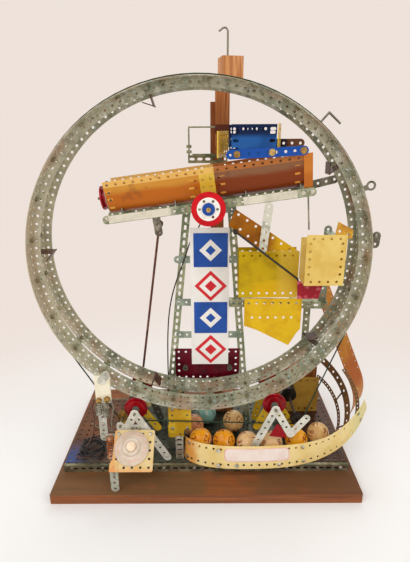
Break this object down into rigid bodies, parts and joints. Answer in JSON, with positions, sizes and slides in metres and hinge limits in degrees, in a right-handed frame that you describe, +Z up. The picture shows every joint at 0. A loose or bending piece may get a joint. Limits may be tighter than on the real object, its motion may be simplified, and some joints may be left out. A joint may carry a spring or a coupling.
{
  "type": "lottery machine",
  "caption": "Free-standing lottery machine: a large motor-driven upright wheel on rollers, a rocking trough, hopper, chutes, a guarded ball tray, wooden base and a push button.",
  "frame": {"origin": "centre of the base board's underside", "axes": "+Z up, +X to the right seen from the front, +Y to the back; the wheel turns about Y"},
  "size_m": [0.5555, 0.2926, 0.6995],
  "materials": {
    "wood_base": "satin",
    "wood_light": "satin",
    "green_metal": "worn satin",
    "dark_metal": "worn satin",
    "zinc": "worn",
    "steel_rod": "worn",
    "brown_plate": "worn satin",
    "maroon_plate": "gloss",
    "red_paint": "gloss",
    "white_board": "satin",
    "brass": "worn",
    "yellow_plate": "satin",
    "cream_plate": "satin",
    "blue_plate": "satin",
    "amber_plate": "gloss",
    "brown_amber": "gloss",
    "black_motor": "satin",
    "cord": "matte",
    "ivory": "gloss",
    "ball_paint": "satin",
    "ochre_plate": "worn satin"
  },
  "bodies": {
    "root": {"base_board": "wood_base", "deck_girders": "dark_metal", "deck_plate_left": "brown_plate", "deck_plate_centre": "dark_metal", "deck_plate_right": "brown_plate", "tower_legs": "green_metal", "tower_plates": "maroon_plate", "pivot_axle": "brass", "roundel": "red_paint", "sign_board": "white_board", "roller_brackets": "cream_plate", "roller_shafts": "zinc", "drive_cord": "cord", "motor": "black_motor", "motor_mount": "ochre_plate", "post_timbers": "wood_light", "top_block": "wood_light", "foot_blocks": "wood_light", "hook_wire": "steel_rod", "hopper_walls": "blue_plate", "hopper_ends": "yellow_plate", "hopper_carrier": "zinc", "crown_girder": "green_metal", "receiving_box": "yellow_plate", "box_bracket": "zinc", "diagonal_plate": "amber_plate", "chute_walls": "yellow_plate", "chute_apron": "yellow_plate", "side_girders": "zinc", "outer_chute": "amber_plate", "track_rails": "cream_plate", "guard": "cream_plate", "guard_bolts": "brass", "deck_upright": "yellow_plate", "button_plate": "cream_plate", "push_housing": "ivory", "contact_block": "cream_plate", "contact_stand": "zinc", "coil_lead": "brass"},
    "wheel": {"front_ring": "green_metal", "rear_ring": "green_metal", "cross_bars": "green_metal", "ring_bolts": "brass", "ball_scoops": "brown_plate", "trip_arms": "zinc"},
    "trough": {"trough_left": "amber_plate", "trough_middle": "yellow_plate", "trough_right": "brown_amber", "trough_rails": "zinc", "trough_cradles": "green_metal", "rock_arm": "zinc"},
    "end_wheel": {"end_pulley": "red_paint"},
    "connecting_rod": {"push_rod": "steel_rod"},
    "lever": {"rock_lever": "cream_plate"},
    "rollers_left": {"left_rollers": "red_paint"},
    "rollers_right": {"right_rollers": "red_paint"},
    "drive_pulley": {"motor_pulley": "brass"},
    "idler": {"idler_pulley": "brass"},
    "button": {"push_button": "ivory"},
    "balls": {"loose_balls": "ball_paint"}
  },
  "joints": [
    {"name": "wheel_spin", "type": "hinge", "parent": "root", "child": "wheel", "pos_m": [-0.008, -0.03, 0.37], "axis": [0, 1, 0], "continuous": true},
    {"name": "left_roller_spin", "type": "hinge", "parent": "root", "child": "rollers_left", "pos_m": [-0.114, -0.03, 0.12462], "axis": [0, 1, 0], "continuous": true},
    {"name": "right_roller_spin", "type": "hinge", "parent": "root", "child": "rollers_right", "pos_m": [0.112, -0.03, 0.13115], "axis": [0, 1, 0], "continuous": true},
    {"name": "motor_spin", "type": "hinge", "parent": "root", "child": "drive_pulley", "pos_m": [0.152, -0.061, 0.094], "axis": [0, 1, 0], "continuous": true},
    {"name": "idler_spin", "type": "hinge", "parent": "root", "child": "idler", "pos_m": [-0.138, -0.061, 0.102], "axis": [0, 1, 0], "continuous": true},
    {"name": "trough_rock", "type": "hinge", "parent": "root", "child": "trough", "pos_m": [0.006, -0.015, 0.448], "axis": [0, 1, 0], "range_deg": [0, 15]},
    {"name": "end_wheel_spin", "type": "hinge", "parent": "trough", "child": "end_wheel", "pos_m": [-0.1467, -0.015, 0.45866], "axis": [0.9914, 0, 0.1305], "continuous": true},
    {"name": "rod_swing", "type": "hinge", "parent": "trough", "child": "connecting_rod", "pos_m": [-0.07449, 0.031, 0.40815], "axis": [0, 1, 0], "range_deg": [-15, 0]},
    {"name": "lever_swing", "type": "hinge", "parent": "root", "child": "lever", "pos_m": [-0.0477, 0.028, 0.094], "axis": [0, 1, 0], "range_deg": [0, 15]},
    {"name": "button_press", "type": "slide", "parent": "root", "child": "button", "axis": [0, 0.5736, -0.8192], "range_m": [0, 0.0022], "stiffness_N_per_m": 200},
    {"name": "balls_lift", "type": "slide", "parent": "root", "child": "balls", "axis": [0, 0, 1], "range_m": [0, 0.006]}
  ],
  "couplings": [
    {"joint": "left_roller_spin", "follows": "wheel_spin", "ratio": -15.688},
    {"joint": "right_roller_spin", "follows": "wheel_spin", "ratio": -15.688},
    {"joint": "motor_spin", "follows": "wheel_spin", "ratio": 31.375},
    {"joint": "idler_spin", "follows": "wheel_spin", "ratio": 35.857},
    {"joint": "rod_swing", "follows": "trough_rock", "ratio": -1},
    {"joint": "lever_swing", "follows": "trough_rock", "ratio": 1}
  ]
}
